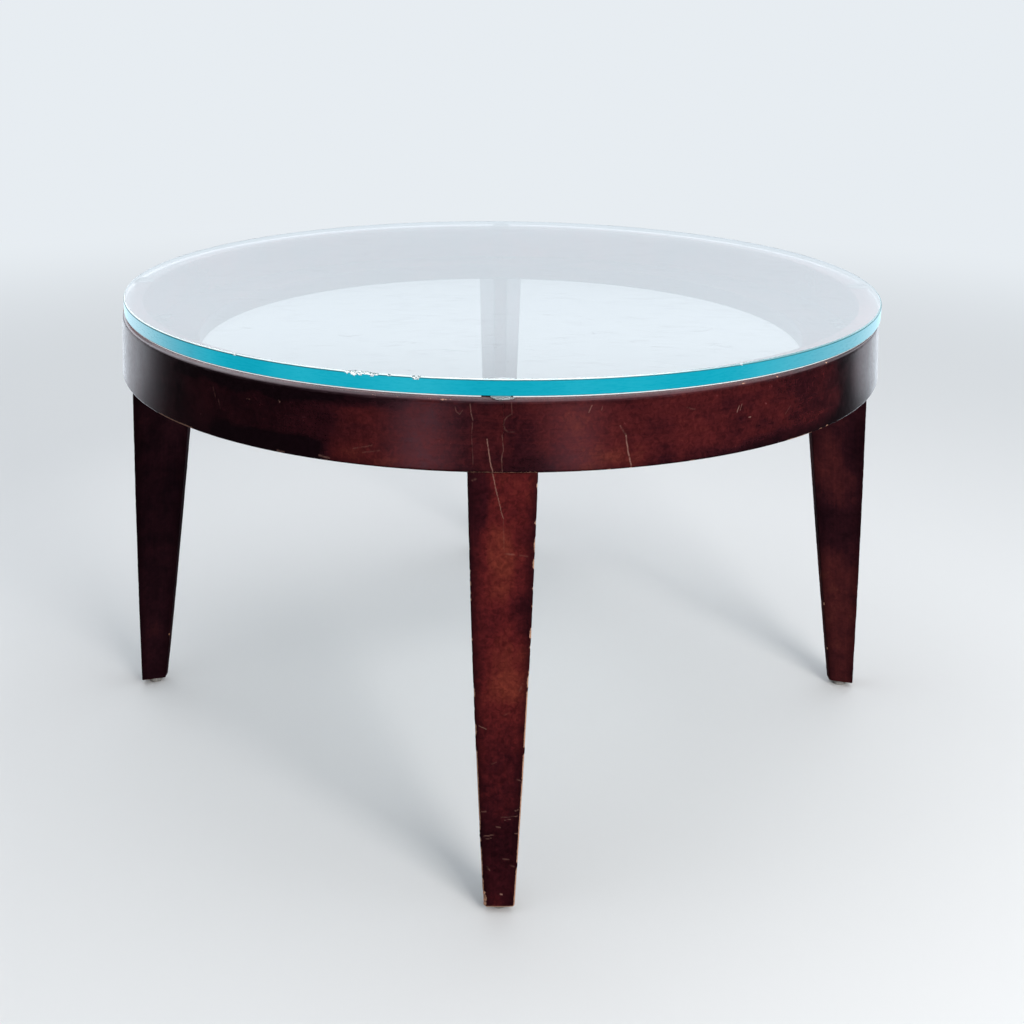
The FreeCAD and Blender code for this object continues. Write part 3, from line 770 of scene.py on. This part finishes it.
# ------------------------------------------------------------------ glass
def glass_materials():
    # clear polished faces, a little dust and fine rubbing on them
    T = Tree("clear_plate")
    P = T.add("ShaderNodeTexCoord").outputs["Object"]
    rub = T.noise(T.vec("MULTIPLY", P, (1.0, 5.0, 1.0)), 40.0, 4.0, 0.6)
    spot = T.noise(P, 700.0, 2.0, 0.6)
    rough = T.math("MULTIPLY", T.span(rub, 0.55, 0.80), 0.04)
    rough = T.math("MULTIPLY_ADD", T.span(spot, 0.70, 0.78), 0.10, rough)
    smear = T.noise(T.vec("MULTIPLY", P, (1.0, 2.6, 1.0)), 26.0, 5.0, 0.62, 0.8)
    dust = T.span(T.noise(P, 420.0, 2.0, 0.5), 0.69, 0.74, 0.0, 0.6)
    curl = T.math("ABSOLUTE", T.math("SUBTRACT", T.noise(T.vec("MULTIPLY", P, (1.0, 1.7, 1.0)), 11.0, 2.0, 0.5, 0.6), 0.5))
    hair = T.math("MULTIPLY", T.span(curl, 0.0060, 0.0020), T.span(smear, 0.50, 0.60, 0.0, 0.55))
    film = T.math("MAXIMUM", T.math("MAXIMUM", T.span(smear, 0.50, 0.68, 0.0, 0.20), dust), hair)
    T.principled(Base_Color=T.mix(film, (0.955, 0.990, 0.985), (0.40, 0.43, 0.45)), Roughness=rough,
                 Transmission_Weight=1.0, IOR=1.5)
    face = T.block

    # polished edge: deep blue-green, with a painted glow standing in for the light that the plate carries to it,
    # painted paler where it is seen at a slant, sooner on the right side, and a painted dim grey from inside
    T = Tree("plate_rim")
    P = T.add("ShaderNodeTexCoord").outputs["Object"]
    n1 = T.noise(T.vec("MULTIPLY", P, (1.0, 1.0, 0.2)), 14.0, 3.0, 0.5)
    n2 = T.noise(T.vec("MULTIPLY", P, (1.0, 1.0, 6.0)), 120.0, 3.0, 0.6)
    k = T.math("MULTIPLY_ADD", n1, 0.8, T.math("MULTIPLY", n2, 0.3))
    col = T.ramp(k, [(0.25, (0.003, 0.345, 0.475)), (0.5, (0.006, 0.395, 0.535)), (0.8, (0.020, 0.46, 0.60))])
    lw = T.add("ShaderNodeLayerWeight")
    lw.inputs["Blend"].default_value = 0.5
    sep = T.add("ShaderNodeSeparateXYZ")
    T.put(sep.inputs[0], P)
    painted_slant_reflection = T.mix(T.span(sep.outputs[0], 0.05, 0.20), T.span(lw.outputs["Facing"], 0.36, 0.82, 0.0, 0.80),
                  T.span(lw.outputs["Facing"], 0.20, 0.82, 0.0, 0.60))
    back = T.add("ShaderNodeNewGeometry").outputs["Backfacing"]
    col = T.mix(painted_slant_reflection, col, (0.42, 0.66, 0.76))
    col = T.mix(back, col, (0.13, 0.16, 0.175))
    rough = T.math("MULTIPLY_ADD", n2, 0.12, 0.22)
    # the emission is the edge's painted glow
    p = T.principled(Base_Color=T.mix(0.86, col, (0.0, 0.0, 0.0)), Roughness=rough, IOR=1.52,
                     Specular_IOR_Level=0.14, Emission_Color=col, Emission_Strength=0.92)
    T.put(p.inputs["Normal"], T.bump(n2, 0.05, 0.0003))
    rim = T.block

    # ground arris: a painted highlight, a bright glowing line along both edges, with a dark one beside it; under
    # the front pad the lower line is broken by painted shadow, the top line is painted dimmer to the front right, and
    # from inside it is a painted dim grey
    zb, zt = GLASS_ZB * MM, GLASS_ZT * MM
    T = Tree("plate_arris")
    P = T.add("ShaderNodeTexCoord").outputs["Object"]
    sep = T.add("ShaderNodeSeparateXYZ")
    T.put(sep.inputs[0], P)
    x, y, z = sep.outputs
    back = T.add("ShaderNodeNewGeometry").outputs["Backfacing"]
    n2 = T.noise(P, 300.0, 3.0, 0.6)
    up = T.span(z, zt - 0.00085, zt - 0.00055)
    low = T.span(z, zb + 0.00125, zb + 0.00100)
    pad_shadow_dash = T.math("MULTIPLY", T.span(x, -0.0174, -0.0168), T.span(x, -0.0094, -0.0100))
    pad_shadow_dash = T.math("ADD", pad_shadow_dash, T.math("MULTIPLY", T.span(x, 0.0056, 0.0060), T.span(x, 0.0078, 0.0072)))
    pad_shadow_dash = T.math("MULTIPLY", pad_shadow_dash, T.span(y, -0.30, -0.31))
    lobe = T.math("MULTIPLY", T.span(x, -0.0100, -0.0090), T.span(x, 0.0060, 0.0054))
    lobe = T.math("MULTIPLY", lobe, T.span(y, -0.30, -0.31))
    low = T.math("MULTIPLY", low, T.math("SUBTRACT", 1.0, T.math("MAXIMUM", pad_shadow_dash, T.math("MULTIPLY", lobe, 0.6))))
    pale = T.ramp(n2, [(0.3, (0.70, 0.88, 0.91)), (0.7, (0.92, 0.97, 0.98))])
    teal = T.mix(T.math("MULTIPLY", pad_shadow_dash, T.span(z, zb + 0.004, zb + 0.003)), (0.014, 0.17, 0.215), (0.004, 0.018, 0.024))
    dimmed_glint = T.math("MULTIPLY", T.span(x, 0.06, 0.24), T.span(y, 0.05, 0.0))
    pale = T.mix(T.math("MULTIPLY", dimmed_glint, up), pale, (0.16, 0.34, 0.38))
    col = T.mix(T.math("MAXIMUM", up, low), teal, pale)
    col = T.mix(back, col, (0.13, 0.15, 0.16))
    # the emission is a painted glow, strongest on the lower line
    T.principled(Base_Color=col, Roughness=T.math("MULTIPLY_ADD", n2, 0.2, 0.15), IOR=1.52, Specular_IOR_Level=0.4,
                 Emission_Color=col, Emission_Strength=T.math("MULTIPLY_ADD", low, 0.70, 0.12))
    arris = T.block

    # chipped edge: painted glints on the bright broken lips below, painted dark and light reflection lines on the face
    T = Tree("plate_chip")
    P = T.add("ShaderNodeTexCoord").outputs["Object"]
    sep = T.add("ShaderNodeSeparateXYZ")
    T.put(sep.inputs[0], P)
    n = T.noise(P, 1100.0, 3.0, 0.6, 0.5)
    up = T.span(sep.outputs[2], zt - 0.0010, zt - 0.0004)
    lip = T.span(n, 0.43, 0.51)
    line = T.span(n, 0.49, 0.55)
    fac = T.math("ADD", T.math("MULTIPLY", T.math("SUBTRACT", 1.0, up), lip), T.math("MULTIPLY", up, line))
    col = T.mix(fac, (0.030, 0.105, 0.125), (0.93, 0.98, 0.99))
    # a faint painted glow on the chip
    p = T.principled(Base_Color=col, Roughness=T.math("MULTIPLY_ADD", n, 0.3, 0.10), IOR=1.52, Specular_IOR_Level=0.5,
                     Emission_Color=col, Emission_Strength=0.18)
    T.put(p.inputs["Normal"], T.bump(n, 0.4, 0.0004))
    return [face, rim, arris, T.block]


GLASS_CHIPS = [  # angle, half length, reach across the face and down the edge (mm), "t" top or "b" bottom
    (-108.9, 2.2, 3.0, 1.3, "t"), (-108.1, 3.4, 6.0, 2.8, "t"), (-107.3, 2.6, 4.6, 1.7, "t"),
    (-106.6, 3.2, 5.4, 0.9, "t"), (-105.8, 2.8, 2.6, 1.9, "t"), (-105.2, 1.6, 1.4, 1.1, "t"),
    (-103.7, 1.6, 1.0, 0.7, "t"), (-100.4, 3.0, 2.6, 1.9, "t"), (-125.4, 1.8, 1.4, 1.0, "t"),
    (-60.0, 1.2, 0.8, 0.6, "t"), (35.0, 1.6, 1.0, 0.8, "t"), (140.0, 2.0, 1.4, 1.0, "t"), (95.0, 1.5, 0.8, 0.7, "b"),
]


def glass_disc():
    mats = glass_materials()
    R, zb, zt = GLASS_R, GLASS_ZB, GLASS_ZT
    prof = [(r, zt, 0) for r in (60.0, 140.0, 220.0, 290.0, 340.0, 366.0, 371.0, 373.0, 374.4, 375.6,
                                 376.6, 377.4, 378.1, 378.7, 379.2, R - 1.35)]
    ar = [(R - 1.0, zt - 0.13), (R - 0.6, zt - 0.42), (R - 0.28, zt - 0.75), (R - 0.07, zt - 1.1)]
    prof += [(r, z, 2) for r, z in ar]
    prof += [(R, z, 1) for z in np.linspace(zt - 1.5, zb + 1.5, 12)]
    prof += [(r, zb + (zt - z), 2) for r, z in ar[::-1]]
    prof += [(r, zb, 0) for r in (R - 1.35, 379.2, 377.0, 366.0, 340.0, 290.0, 220.0, 140.0, 60.0)]
    prof = np.array(prof)
    th = list(np.arange(-180, 180, 0.5))
    for c in GLASS_CHIPS:
        w = math.degrees(1.3 * c[1] / R) + 0.15
        th += list(np.arange(c[0] - w, c[0] + w, 0.045))
    th = np.array(sorted(th))
    keep = [th[0]]
    for x in th[1:]:
        if x - keep[-1] > 0.03:
            keep.append(x)
    th = np.radians(np.array(keep))
    n, m = len(th), len(prof)
    ang = np.repeat(th, m)
    r = np.tile(prof[:, 0], n)
    z = np.tile(prof[:, 1], n)
    P = np.stack([r * np.cos(ang), r * np.sin(ang), z], 1)
    scoops = []
    rs = np.random.RandomState(41)
    for ang0, hl, reach, down, side in GLASS_CHIPS:
        for i in range(5):
            if i == 0:
                da, kl, kr, kd = 0.0, 0.80, 0.62, 0.70
            else:
                da = (rs.rand() - 0.5) * 1.7 * hl
                fall = 1 - 0.5 * abs(da) / hl
                kl, kr, kd = 0.22 + 0.30 * rs.rand(), (0.4 + 0.6 * rs.rand()) * fall, (0.35 + 0.65 * rs.rand()) * fall
            a = math.radians(ang0) + da / R
            rad_v = np.array([math.cos(a), math.sin(a), 0])
            tan_v = np.array([-math.sin(a), math.cos(a), 0])
            zz = zt + 0.35 if side == "t" else zb - 0.35
            centre = rad_v * (R + 0.35) + np.array([0, 0, zz])
            rr, rz = 1.0 + reach * kr, 1.0 + down * kd
            scoops.append((centre, [rad_v, tan_v, [0, 0, 1]], (rr, max(0.7, hl * kl * 1.2), rz)))
    chip = carve(P, scoops)
    P[:, 0] += GLASS_C[0]
    P[:, 1] += GLASS_C[1]
    top = len(P)
    P = np.vstack([P, [[GLASS_C[0], GLASS_C[1], zt], [GLASS_C[0], GLASS_C[1], zb]]])
    faces, fm = [], []
    part = prof[:, 2].astype(int)
    for i in range(n):
        a, b = i * m, ((i + 1) % n) * m
        for j in range(m - 1):
            f = (a + j, b + j, b + j + 1, a + j + 1)
            faces.append(f)
            if part[j] == part[j + 1]:
                s = part[j]
            else:
                s = 2
            if chip[list(f)].max() > 0.9:
                s = 3
            fm.append(s)
        faces.append((top, b, a))
        fm.append(0)
        faces.append((top + 1, a + m - 1, b + m - 1))
        fm.append(0)
    o = piece("glass_disc", P, faces, mats, "glass", "glass_top", face_mats=fm, sharp=28.0)
    o.visible_shadow = False
    return o


glass_disc()


# ------------------------------------------------------------------ clear pads
def pad_material(name, ior, rough, base):
    T = Tree(name)
    P = T.add("ShaderNodeTexCoord").outputs["Object"]
    n = T.noise(P, 500.0, 3.0, 0.6)
    p = T.principled(Base_Color=base, Roughness=T.math("MULTIPLY_ADD", n, 0.15, rough),
                     Transmission_Weight=0.92, IOR=ior)
    T.put(p.inputs["Normal"], T.bump(n, 0.2, 0.0004))
    return T.block


# the side pads' grey tint is painted shade: clear vinyl, darkened so that it shows no brighter than the shaded hoop top
# under it
PAD_MAT = pad_material("clear_vinyl", 1.04, 0.01, (0.44, 0.42, 0.43))
PAD_FRONT = pad_material("clear_vinyl_front", 1.30, 0.10, (0.90, 0.93, 0.93))


def pad(name, angle, seed, lobe):
    """Soft clear pad, squeezed between hoop and glass so that its wall bulges."""
    zb, zt = ZT + 0.02, ZT + 2.0
    n = 72
    prof = [(0.0, zb), (5.0, zb), (8.5, zb), (9.9, zb + 0.06), (10.6, zb + 0.4), (10.9, zb + 1.0),
            (10.6, zb + 1.58), (9.9, zt - 0.06), (8.5, zt), (5.0, zt), (0.0, zt)]
    ring = prof[1:-1]
    verts, faces = [], []
    th = np.linspace(0, 2 * math.pi, n, endpoint=False)
    for t in th:
        g = 1.0 - 0.03 * noise1(np.array([t * 2.2 + 3]), seed, 2)[0]
        out = max(0.0, math.cos(t)) ** 6
        for r, z in ring:
            rr = r * g if r > 6 else r
            verts.append((371.5 + rr * math.cos(t) * (1.0 - 0.0 * out), rr * math.sin(t), z))
    m = len(ring)
    c0 = len(verts)
    verts += [(371.5, 0, zb), (371.5, 0, zt)]
    for i in range(n):
        a, b = i * m, ((i + 1) % n) * m
        for j in range(m - 1):
            faces.append((a + j, b + j, b + j + 1, a + j + 1))
        faces.append((c0, b, a))
        faces.append((c0 + 1, a + m - 1, b + m - 1))
    V = np.array(verts, float)
    a = math.radians(angle)
    X = np.stack([V[:, 0] * math.cos(a) - V[:, 1] * math.sin(a),
                  V[:, 0] * math.sin(a) + V[:, 1] * math.cos(a), V[:, 2]], 1)
    return piece("pad_" + name, X, faces, [PAD_FRONT if lobe else PAD_MAT], "frame", "glass_pad_" + name, sharp=60)


for i, (nm, a) in enumerate(SIDES.items()):
    pad(nm, a, 800 + i, nm == "front")


# ------------------------------------------------------------------ carried-over CAD nodes
def metal(name, base, rough):
    T = Tree(name)
    P = T.add("ShaderNodeTexCoord").outputs["Object"]
    n = T.noise(P, 260.0, 4.0, 0.6)
    f = T.noise(P, 2200.0, 2.0, 0.6)
    col = T.mix(T.span(n, 0.35, 0.75), base, tuple(0.55 * c for c in base))
    p = T.principled(Base_Color=col, Metallic=1.0, Roughness=T.math("MULTIPLY_ADD", n, 0.25, rough))
    T.put(p.inputs["Normal"], T.bump(f, 0.15, 0.0001))
    return T.block


def nylon(name):
    T = Tree(name)
    P = T.add("ShaderNodeTexCoord").outputs["Object"]
    n = T.noise(P, 420.0, 4.0, 0.6)
    f = T.noise(T.vec("MULTIPLY", P, (1, 1, 6)), 900.0, 3.0, 0.6)
    col = T.ramp(n, [(0.3, (0.36, 0.35, 0.34)), (0.6, (0.60, 0.59, 0.57)), (0.8, (0.76, 0.75, 0.73))])
    p = T.principled(Base_Color=col, Roughness=T.math("MULTIPLY_ADD", n, 0.3, 0.35))
    T.put(p.inputs["Normal"], T.bump(f, 0.25, 0.0002))
    return T.block


def plain_wood(name):
    T = Tree(name)
    P = T.add("ShaderNodeTexCoord").outputs["Object"]
    s = T.noise(T.vec("MULTIPLY", P, (0.1, 0.1, 1.0)), 300.0, 4.0, 0.6)
    col = T.ramp(s, [(0.3, (0.36, 0.21, 0.11)), (0.7, (0.56, 0.37, 0.21))])
    p = T.principled(Base_Color=col, Roughness=T.math("MULTIPLY_ADD", s, 0.2, 0.55))
    T.put(p.inputs["Normal"], T.bump(s, 0.3, 0.0002))
    return T.block


def dress(node, mat):
    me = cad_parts[node].data
    me.materials.clear()
    me.materials.append(mat)


for s in SIDES:
    dress("mounting_ring_" + s, ring_wood["x" if s in ("front", "back") else "y"])
zinc = metal("dull_zinc", (0.10, 0.092, 0.085), 0.45)
for n in ("leg_bolts", "leg_washers", "leg_nuts", "glide_nails"):
    dress(n, zinc)
glide = nylon("scuffed_nylon")
for s in SIDES:
    dress("foot_glide_" + s, glide)
ply = plain_wood("bare_tongue")
for n in ("apron_splines", "mounting_ring_splines"):
    dress(n, ply)


# ------------------------------------------------------------------ stage, light, camera
def floor():
    me = bpy.data.meshes.new("floor")
    s = 40.0
    me.from_pydata([(-s, -s, 0), (s, -s, 0), (s, s, 0), (-s, s, 0)], [], [(0, 1, 2, 3)])
    o = bpy.data.objects.new("floor", me)
    scene.collection.objects.link(o)
    T = Tree("pale_floor")
    path = T.add("ShaderNodeLightPath")
    # pale to look at, less so in reflections, so that dark lacquer stays dark
    col = T.mix(path.outputs["Is Glossy Ray"], (0.16, 0.16, 0.165), (0.032, 0.032, 0.034))
    # seen through the glass the floor is darker: painted shade
    col = T.mix(path.outputs["Is Transmission Ray"], col, (0.41, 0.415, 0.42))
    col = T.mix(path.outputs["Is Camera Ray"], col, (0.78, 0.795, 0.81))
    dif = T.add("ShaderNodeBsdfDiffuse")
    T.put(dif.inputs["Color"], col)
    far = T.vec("LENGTH", T.add("ShaderNodeTexCoord").outputs["Object"])
    fade = T.math("MULTIPLY", T.span(far, 0.9, 3.2), path.outputs["Is Camera Ray"])
    em = T.add("ShaderNodeEmission")
    em.inputs["Color"].default_value = (0.80, 0.845, 0.885, 1)
    mx = T.add("ShaderNodeMixShader")
    T.put(mx.inputs[0], fade)
    T.t.links.new(dif.outputs[0], mx.inputs[1])
    T.t.links.new(em.outputs[0], mx.inputs[2])
    # seen from above only, so that the underside of the table can be looked at
    under = T.add("ShaderNodeMixShader")
    T.put(under.inputs[0], T.add("ShaderNodeNewGeometry").outputs["Backfacing"])
    T.t.links.new(mx.outputs[0], under.inputs[1])
    T.t.links.new(T.add("ShaderNodeBsdfTransparent").outputs[0], under.inputs[2])
    out = T.add("ShaderNodeOutputMaterial")
    T.t.links.new(under.outputs[0], out.inputs["Surface"])
    me.materials.append(T.block)
    return o


def back_card():
    """White card behind the table, only there for the upright surfaces to mirror."""
    me = bpy.data.meshes.new("back_card")
    me.from_pydata([(-1.8, 1.0, 0.0), (1.33, 1.0, 0.0), (1.33, 1.0, 0.45), (-1.8, 1.0, 0.45)], [], [(0, 1, 2, 3)])
    o = bpy.data.objects.new("back_card", me)
    scene.collection.objects.link(o)
    T = Tree("back_card")
    sep = T.add("ShaderNodeSeparateXYZ")
    T.put(sep.inputs[0], T.add("ShaderNodeTexCoord").outputs["Object"])
    k = T.span(sep.outputs[2], 0.02, 0.10, 0.0, 1.35)
    k = T.math("MULTIPLY", k, T.span(sep.outputs[0], -1.75, -1.15, 0.06, 1.0))
    em = T.add("ShaderNodeEmission")
    em.inputs["Color"].default_value = (0.905, 1.0, 1.085, 1)
    T.put(em.inputs["Strength"], k)
    out = T.add("ShaderNodeOutputMaterial")
    T.t.links.new(em.outputs[0], out.inputs["Surface"])
    me.materials.append(T.block)
    o.visible_camera = False
    o.visible_diffuse = False
    o.visible_transmission = False
    o.visible_shadow = False
    return o


def far_card():
    """Bright far wall for the glass to mirror; dimmer low down, where only a plate that
    is seen nearly edge on, and so mirrors most, meets it."""
    me = bpy.data.meshes.new("far_card")
    me.from_pydata([(-22.0, 10.0, 0.7), (22.0, 10.0, 0.7), (22.0, 10.0, 15.0), (-22.0, 10.0, 15.0)], [], [(0, 1, 2, 3)])
    o = bpy.data.objects.new("far_card", me)
    scene.collection.objects.link(o)
    T = Tree("far_card")
    sep = T.add("ShaderNodeSeparateXYZ")
    T.put(sep.inputs[0], T.add("ShaderNodeTexCoord").outputs["Object"])
    k = T.span(sep.outputs[2], 2.01, 3.14, 1.61, 2.30)
    k = T.math("MULTIPLY", k, T.span(sep.outputs[2], 1.60, 1.90, 0.45, 1.0))
    k = T.math("MULTIPLY", k, T.span(sep.outputs[2], 5.5, 14.0, 1.0, 0.35))
    k = T.math("MULTIPLY", k, T.span(T.math("ABSOLUTE", sep.outputs[0]), 7.0, 22.0, 1.0, 0.22))
    em = T.add("ShaderNodeEmission")
    em.inputs["Color"].default_value = (0.905, 1.0, 1.085, 1)
    T.put(em.inputs["Strength"], k)
    out = T.add("ShaderNodeOutputMaterial")
    T.t.links.new(em.outputs[0], out.inputs["Surface"])
    me.materials.append(T.block)
    o.visible_camera = False
    o.visible_diffuse = False
    o.visible_transmission = False
    o.visible_shadow = False


def low_card(name, x0, x1, steep, slow, depth):
    """Low card behind one end, for the pale end of the hoop there."""
    me = bpy.data.meshes.new(name)
    me.from_pydata([(x0, 0.45, 0.0), (x1, 0.45, 0.0), (x1, 0.45, 0.42), (x0, 0.45, 0.42)], [], [(0, 1, 2, 3)])
    o = bpy.data.objects.new(name, me)
    scene.collection.objects.link(o)
    T = Tree(name)
    sep = T.add("ShaderNodeSeparateXYZ")
    T.put(sep.inputs[0], T.add("ShaderNodeTexCoord").outputs["Object"])
    k = T.math("ADD", T.span(sep.outputs[0], *steep), T.span(sep.outputs[0], *slow))
    # dimmer low down towards the outer end, and faded out at the top
    ax = T.math("ABSOLUTE", sep.outputs[0])
    rise = T.span(T.math("MULTIPLY_ADD", ax, 0.16, sep.outputs[2]), 0.302, 0.362)
    dim = T.math("MULTIPLY", T.math("SUBTRACT", 1.0, rise), T.span(ax, 0.60, 1.18, 0.0, depth))
    k = T.math("MULTIPLY", k, T.math("SUBTRACT", 1.0, dim))
    k = T.math("MULTIPLY", k, T.span(sep.outputs[2], 0.42, 0.34))
    em = T.add("ShaderNodeEmission")
    em.inputs["Color"].default_value = (0.905, 1.0, 1.085, 1)
    T.put(em.inputs["Strength"], k)
    out = T.add("ShaderNodeOutputMaterial")
    T.t.links.new(em.outputs[0], out.inputs["Surface"])
    me.materials.append(T.block)
    o.visible_camera = False
    o.visible_diffuse = False
    o.visible_transmission = False
    o.visible_shadow = False


floor()
back_card()
far_card()
low_card("low_card_left", -1.95, -0.5, (-0.80, -0.58, 0.0, 0.7), (-1.75, -0.85, 0.20, 1.1), 0.62)
low_card("low_card_right", 0.5, 1.42, (0.95, 0.58, 0.0, 0.70), (1.35, 1.12, 0.0, 1.06), 0.85)

W = Tree("studio", world=True)
sep = W.add("ShaderNodeSeparateXYZ")
W.put(sep.inputs[0], W.add("ShaderNodeTexCoord").outputs["Generated"])
lev = W.math("MULTIPLY_ADD", sep.outputs[0], 0.09, 0.16)
lev = W.math("MULTIPLY_ADD", sep.outputs[1], 0.10, lev)
lev = W.math("ADD", lev, W.span(sep.outputs[2], 0.15, 0.9, 0.0, 0.55))
path = W.add("ShaderNodeLightPath")
# the rest of the room, as the glass mirrors it from the other sides
room = W.math("MULTIPLY", W.span(sep.outputs[2], 0.0, 0.14, 0.0, 0.75), W.span(sep.outputs[1], 0.50, 0.15))
lev = W.math("ADD", lev, W.math("MULTIPLY", room, path.outputs["Is Glossy Ray"]))
lev = W.math("ADD", W.math("MULTIPLY", lev, W.math("SUBTRACT", 1.0, path.outputs["Is Camera Ray"])),
             W.math("MULTIPLY", path.outputs["Is Camera Ray"], 0.845))
bg = W.add("ShaderNodeBackground")
bg.inputs["Color"].default_value = (0.948, 1.0, 1.047, 1)
W.put(bg.inputs["Strength"], lev)
out = W.add("ShaderNodeOutputWorld")
W.t.links.new(bg.outputs[0], out.inputs["Surface"])
scene.world = W.block


def area(name, at, to, size, power, colour=(1, 1, 1)):
    d = bpy.data.lights.new(name, "AREA")
    d.shape = "RECTANGLE"
    d.size, d.size_y = size
    d.energy = power
    d.color = colour
    o = bpy.data.objects.new(name, d)
    o.location = at
    o.rotation_mode = "QUATERNION"
    o.rotation_quaternion = (Vector(to) - Vector(at)).to_track_quat("-Z", "Y")
    o.visible_camera = False
    o.visible_transmission = False
    scene.collection.objects.link(o)
    return o


area("key_front_right", (1.2, -2.1, 1.5), (0, 0, 0.3), (1.0, 1.0), 40, (1.0, 0.95, 0.9)).visible_glossy = False
area("top_soft", (0.0, 0.3, 2.4), (0, 0, 0), (2.4, 2.0), 24)

def glow_card(name, x, width, top, level, colour):
    """Small soft card in front, low down, for the two broad gleams on the hoop."""
    me = bpy.data.meshes.new(name)
    h = width / 2
    me.from_pydata([(x - h, -1.75, 0.0), (x + h, -1.75, 0.0), (x + h, -1.75, top), (x - h, -1.75, top)], [],
                   [(3, 2, 1, 0)])
    o = bpy.data.objects.new(name, me)
    scene.collection.objects.link(o)
    T = Tree(name)
    sep = T.add("ShaderNodeSeparateXYZ")
    T.put(sep.inputs[0], T.add("ShaderNodeTexCoord").outputs["Object"])
    d = T.math("ABSOLUTE", T.math("SUBTRACT", sep.outputs[0], x))
    k = T.math("MULTIPLY", T.span(d, h, 0.0, 0.0, level), T.span(sep.outputs[2], top, 0.35 * top))
    em = T.add("ShaderNodeEmission")
    em.inputs["Color"].default_value = (*colour, 1)
    T.put(em.inputs["Strength"], k)
    out = T.add("ShaderNodeOutputMaterial")
    T.t.links.new(em.outputs[0], out.inputs["Surface"])
    me.materials.append(T.block)
    o.visible_camera = False
    o.visible_diffuse = False
    o.visible_transmission = False
    o.visible_shadow = False


glow_card("glow_left", -0.62, 0.80, 0.30, 1.9, (1.0, 0.90, 0.98))
glow_card("glow_right", 0.56, 0.70, 0.30, 1.5, (1.0, 0.90, 0.96))

cam_data = bpy.data.cameras.new("camera")
cam = bpy.data.objects.new("camera", cam_data)
scene.collection.objects.link(cam)
yaw, pitch, roll = -0.0138, math.radians(16.5), 0.011
right = Vector((math.cos(yaw), math.sin(yaw), 0))
ahead = Vector((-math.sin(yaw), math.cos(yaw), 0))
fwd = ahead * math.cos(pitch) - Vector((0, 0, 1)) * math.sin(pitch)
upv = ahead * math.sin(pitch) + Vector((0, 0, 1)) * math.cos(pitch)
r2 = right * math.cos(roll) + upv * math.sin(roll)
u2 = upv * math.cos(roll) - right * math.sin(roll)
m3 = Matrix((r2, u2, -fwd)).transposed()
cam.matrix_world = Matrix.Translation(Vector((-0.006887, -1.35612, 0.74307))) @ m3.to_4x4()
cam_data.sensor_width = 36.0
cam_data.lens = 1324.4 / 1024 * 36.0
cam_data.shift_y = (394.05 - 512) / 1024
cam_data.clip_start, cam_data.clip_end = 0.01, 200
cam_data.dof.use_dof = False
scene.camera = cam

scene.view_settings.view_transform = "Standard"
scene.view_settings.look = "None"
